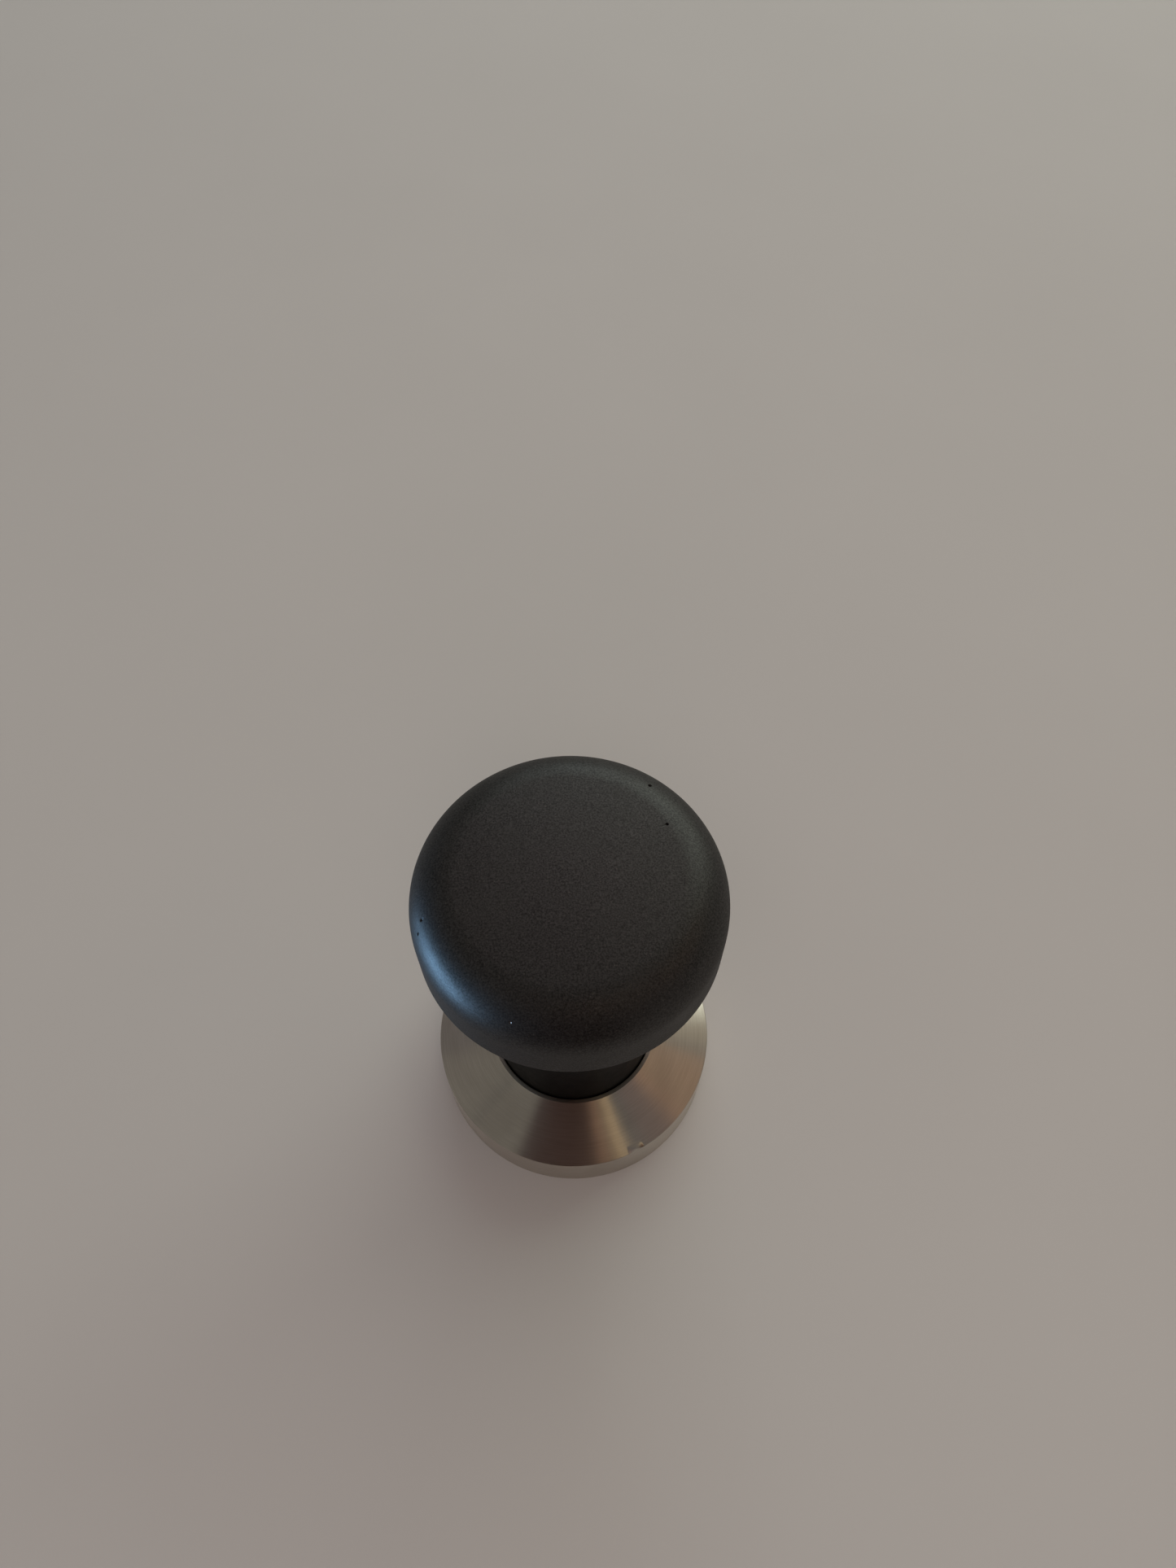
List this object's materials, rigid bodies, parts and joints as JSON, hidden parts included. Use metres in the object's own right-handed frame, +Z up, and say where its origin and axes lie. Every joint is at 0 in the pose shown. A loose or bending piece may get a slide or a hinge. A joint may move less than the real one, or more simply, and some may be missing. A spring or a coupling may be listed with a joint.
{
  "type": "espresso tamper",
  "caption": "Espresso tamper: flat steel base with a conical top, straight black neck that slides in on a spring, and a wide low-domed palm knob.",
  "frame": {"origin": "centre of the flat tamping face", "axes": "+Z up along the tamper's own axis, from the tamping face to the knob; -Y towards the user"},
  "size_m": [0.058, 0.058, 0.0892],
  "materials": {
    "turned_steel": "turned stainless steel with fine circular tool marks",
    "bright_steel": "plain turned steel",
    "black_steel": "black oxide",
    "spring_steel": "drawn spring wire, lightly oiled",
    "bush_bronze": "sintered bearing bronze",
    "acetal": "turned acetal",
    "black_rubber": "matt moulded rubber",
    "black_neck": "fine matt black anodised",
    "black_knob": "bead-blasted satin black anodised"
  },
  "bodies": {
    "base": {"base": "turned_steel", "post": "bright_steel", "thrust_washer": "acetal", "bump_ring": "black_rubber", "wiper_ring": "black_rubber", "retaining_washer": "bright_steel", "lock_washer": "bright_steel", "retaining_screw": "black_steel"},
    "spring_pack": {"spring_seat_lower": "bright_steel", "spring": "spring_steel"},
    "handle": {"spring_seat_upper": "bright_steel", "preload_nut": "bright_steel", "preload_lock_ring": "bright_steel", "guide_bush": "bush_bronze", "rebound_washer": "black_rubber", "neck_sleeve": "black_neck", "wear_ring": "acetal", "knob": "black_knob", "knob_seal_ring": "black_rubber", "knob_lock_screw": "black_steel"}
  },
  "joints": [
    {"name": "handle_turn", "type": "hinge", "parent": "base", "child": "spring_pack", "pos_m": [0, 0, 0.0143], "axis": [0, 0, 1], "continuous": true},
    {"name": "handle_press", "type": "slide", "parent": "spring_pack", "child": "handle", "axis": [0, 0, -1], "range_m": [0, 0.0025], "stiffness_N_per_m": 8000, "springref_m": -0.0163, "deforming": ["spring"]}
  ]
}
